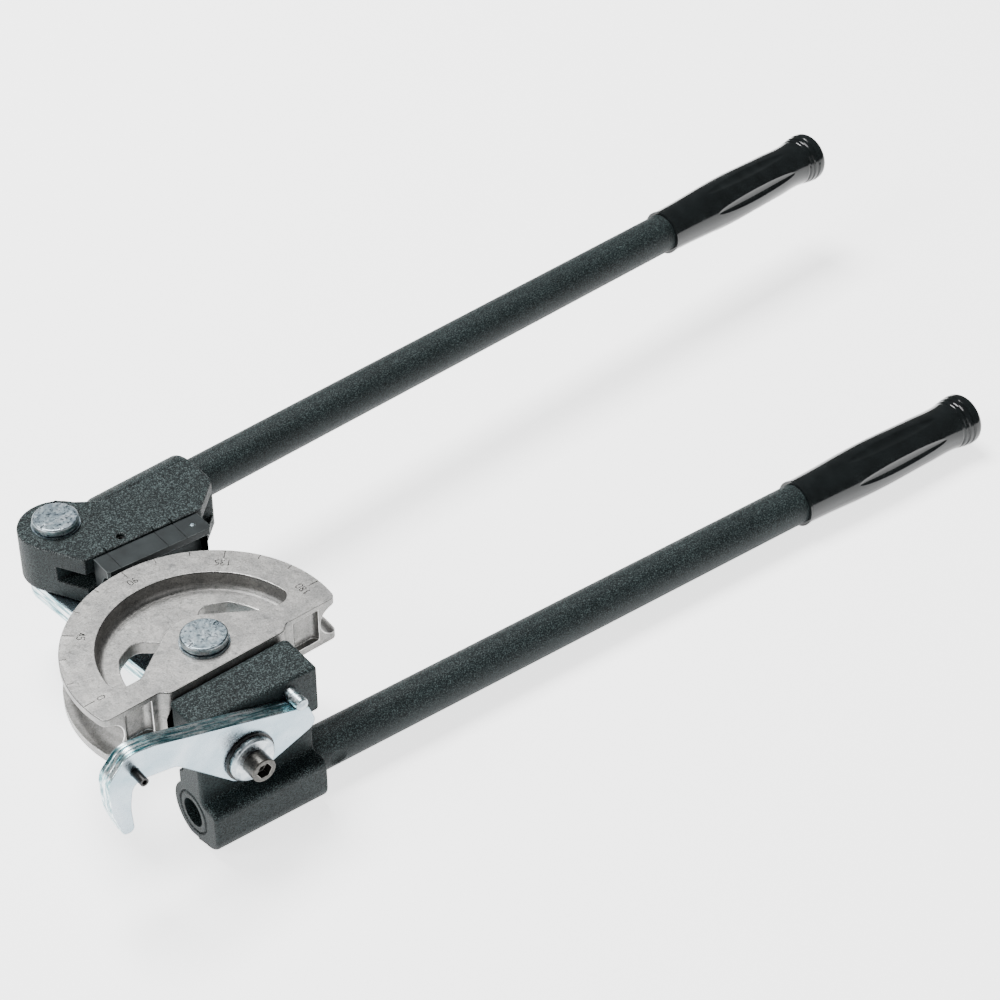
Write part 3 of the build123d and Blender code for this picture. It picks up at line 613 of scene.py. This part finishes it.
# Outer surface: the swelling profile turned round the axis, less a parabola across each flute, whose width
# follows an ellipse along the grip, less a parabola across each ring groove. Past the nose's start the
# radius shrinks as the cube root of 1 - u to the fourth power. A plain bore and floor close the inside.
def makeGrip(nodeName, start, direction):
    g = gripShape
    body = np.linspace(0, g["noseStart"], g["along"])
    u = np.sin(np.linspace(0, np.pi / 2, g["noseRows"] + 1))[1:-1]
    share = np.concatenate([body, g["noseStart"] + (1 - g["noseStart"]) * u])
    radius = smoothThrough(np.array(g["places"]), np.array(g["radii"]), share) * mm
    radius[len(body):] *= (1 - u**4) ** (1 / 3)
    radius += g["collarHeight"] * (share * g["length"] < g["collarLength"])
    for ring in g["rings"]:
        off = (share - ring) * g["length"] / g["ringHalf"]
        radius -= g["ringDepth"] * np.clip(1 - off**2, 0, None)
    angle = np.arange(g["around"]) * 2 * np.pi / g["around"]
    pitch = 2 * np.pi / g["flutes"]
    across = (angle - radians(g["fluteTurn"]) + pitch / 2) % pitch - pitch / 2
    middle = sum(g["fluteSpan"]) / 2
    half = (g["fluteSpan"][1] - g["fluteSpan"][0]) / 2
    lens = np.sqrt(np.clip(1 - ((share - middle) / half) ** 2, 0, None))
    width = np.maximum(radians(g["fluteHalf"]) * lens, 1e-6)
    bowl = np.clip(1 - (across[None, :] / width[:, None]) ** 2, 0, None)
    flute = g["fluteDepth"] * lens[:, None] * bowl
    outer = radius[:, None] - flute
    bore = np.full((2, g["around"]), g["bore"])
    reach = np.concatenate([bore, outer])
    along = np.concatenate([[g["length"] - g["floor"], 0.0], share * g["length"]])
    axis = Vector(direction).normalized()
    upward = Vector((0, 0, 1))
    aside = axis.cross(upward).normalized()
    spokes = np.cos(angle)[:, None] * np.array(upward) + np.sin(angle)[:, None] * np.array(aside)
    points = np.array(start) + along[:, None, None] * np.array(axis) + reach[:, :, None] * spokes[None]
    rows, around = reach.shape
    ends = np.array(start) + np.array([[along[0]], [g["length"]]]) * np.array(axis)
    vertices = np.concatenate([points.reshape(-1, 3), ends])
    corner = np.arange((rows - 1) * around).reshape(rows - 1, around)
    beside = np.roll(corner, -1, axis=1)
    quads = np.stack([corner, beside, beside + around, corner + around], axis=-1).reshape(-1, 4)
    rim = np.arange(around)
    nextRim = np.roll(rim, -1)
    inner = np.stack([nextRim, rim, np.full(around, rows * around)], axis=-1)
    last = (rows - 1) * around
    tip = np.stack([rim + last, nextRim + last, np.full(around, rows * around + 1)], axis=-1)
    mesh = bpy.data.meshes.new(nodeName + "_fluted")
    mesh.from_pydata(vertices.tolist(), [], quads.tolist() + inner.tolist() + tip.tolist())
    work = bmesh.new()
    work.from_mesh(mesh)
    bmesh.ops.recalc_face_normals(work, faces=work.faces)
    work.to_mesh(mesh)
    work.free()
    mesh.shade_smooth()
    mesh.set_sharp_from_angle(angle=radians(g["sharpFrom"]))
    mesh.materials.append(finishes["grip_black"])
    piece = bpy.data.objects.new(nodeName + "_fluted", mesh)
    bpy.context.scene.collection.objects.link(piece)
    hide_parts(nodeName)
    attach(piece, bodyOf(nodeName))


# Where the bending handle's line runs: the yoke pin's axis, lowered, and the handle's turn from +X.
armLine = {"turn": 5.5, "gripFromPin": 487 * mm, "low": 3.8 * mm}
fixedLow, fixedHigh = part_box("fixed_grip")
armDirection = Vector((cos(radians(armLine["turn"])), sin(radians(armLine["turn"])), 0))
armStart = Vector((pinMiddle.x, pinMiddle.y, -armLine["low"])) + armDirection * armLine["gripFromPin"]
fixedMiddle = (fixedLow + fixedHigh) / 2
makeGrip("fixed_grip", Vector((fixedLow.x, fixedMiddle.y, fixedMiddle.z)), (1, 0, 0))
makeGrip("bending_grip", armStart, armDirection)
print("grips made")

floorShape = {"half": 7.0, "height": cadBox[0].z - 0.05 * mm, "glow": 2.3}


# A wide pale floor under the lowest point.
def makeFloor():
    half, height = floorShape["half"], floorShape["height"]
    mesh = bpy.data.meshes.new("floor")
    corners = [(x * half, y * half, height) for x, y in ((-1, -1), (1, -1), (1, 1), (-1, 1))]
    mesh.from_pydata(corners, [], [(0, 1, 2, 3)])
    floor = bpy.data.objects.new("floor", mesh)
    bpy.context.scene.collection.objects.link(floor)
    material, tree, shader = newMaterial("paleFloor")
    cloud = noise(tree, objectPoint(tree), 0.6, 2.0)
    tone = ramp(tree, cloud, ((0.3, (0.93, 0.93, 0.93)), (0.7, (0.95, 0.95, 0.95))))
    tree.links.new(tone, shader.inputs["Base Color"])
    shader.inputs["Emission Color"].default_value = (1.0, 1.0, 1.0, 1.0)
    shader.inputs["Emission Strength"].default_value = floorShape["glow"]
    shader.inputs["Roughness"].default_value = 0.9
    shader.inputs["Specular IOR Level"].default_value = 0.1
    mesh.materials.append(material)


lights = (
    # name, place, aim, size, power
    ("overheadSoftbox", (0.1, 1.3, 2.9), (0.25, 0.05, 0.0), 1.4, 190.0),
    ("leftSoftbox", (-2.4, 0.5, 1.7), (0.1, 0.0, 0.0), 1.1, 50.0),
    ("frontFill", (0.4, -2.8, 1.3), (0.2, 0.0, 0.0), 1.6, 12.0),
)


# A square soft light at a place, aimed at a point.
def makeLight(name, place, aim, size, power):
    data = bpy.data.lights.new(name, "AREA")
    data.size = size
    data.energy = power
    lamp = bpy.data.objects.new(name, data)
    bpy.context.scene.collection.objects.link(lamp)
    lamp.location = place
    lamp.rotation_euler = (Vector(aim) - Vector(place)).to_track_quat("-Z", "Y").to_euler()


worldStrength = 0.16


# Even pale surroundings.
def makeWorld():
    world = bpy.data.worlds.new("studio")
    world.use_nodes = True
    background = world.node_tree.nodes["Background"]
    background.inputs["Color"].default_value = (0.96, 0.98, 1.0, 1)
    background.inputs["Strength"].default_value = worldStrength
    bpy.context.scene.world = world


cameraShape = {
    "place": (-0.5150, -0.9242, 0.9369),
    "look": (0.4793, 0.6215, -0.6198),
    "roll": 0.06,
    "lens": 94.6,
    "sensor": 36,
    "farthest": 50,
}


# The camera at its place, looking along its line.
def makeCamera():
    data = bpy.data.cameras.new("camera")
    data.lens = cameraShape["lens"]
    data.sensor_width = cameraShape["sensor"]
    data.clip_end = cameraShape["farthest"]
    camera = bpy.data.objects.new("camera", data)
    bpy.context.scene.collection.objects.link(camera)
    turn = Vector(cameraShape["look"]).to_track_quat("-Z", "Y").to_matrix().to_4x4()
    spin = Matrix.Rotation(radians(cameraShape["roll"]), 4, "Z")
    camera.matrix_world = Matrix.Translation(cameraShape["place"]) @ turn @ spin
    bpy.context.scene.camera = camera


makeFloor()
for light in lights:
    makeLight(*light)
makeWorld()
makeCamera()
print("studio made")
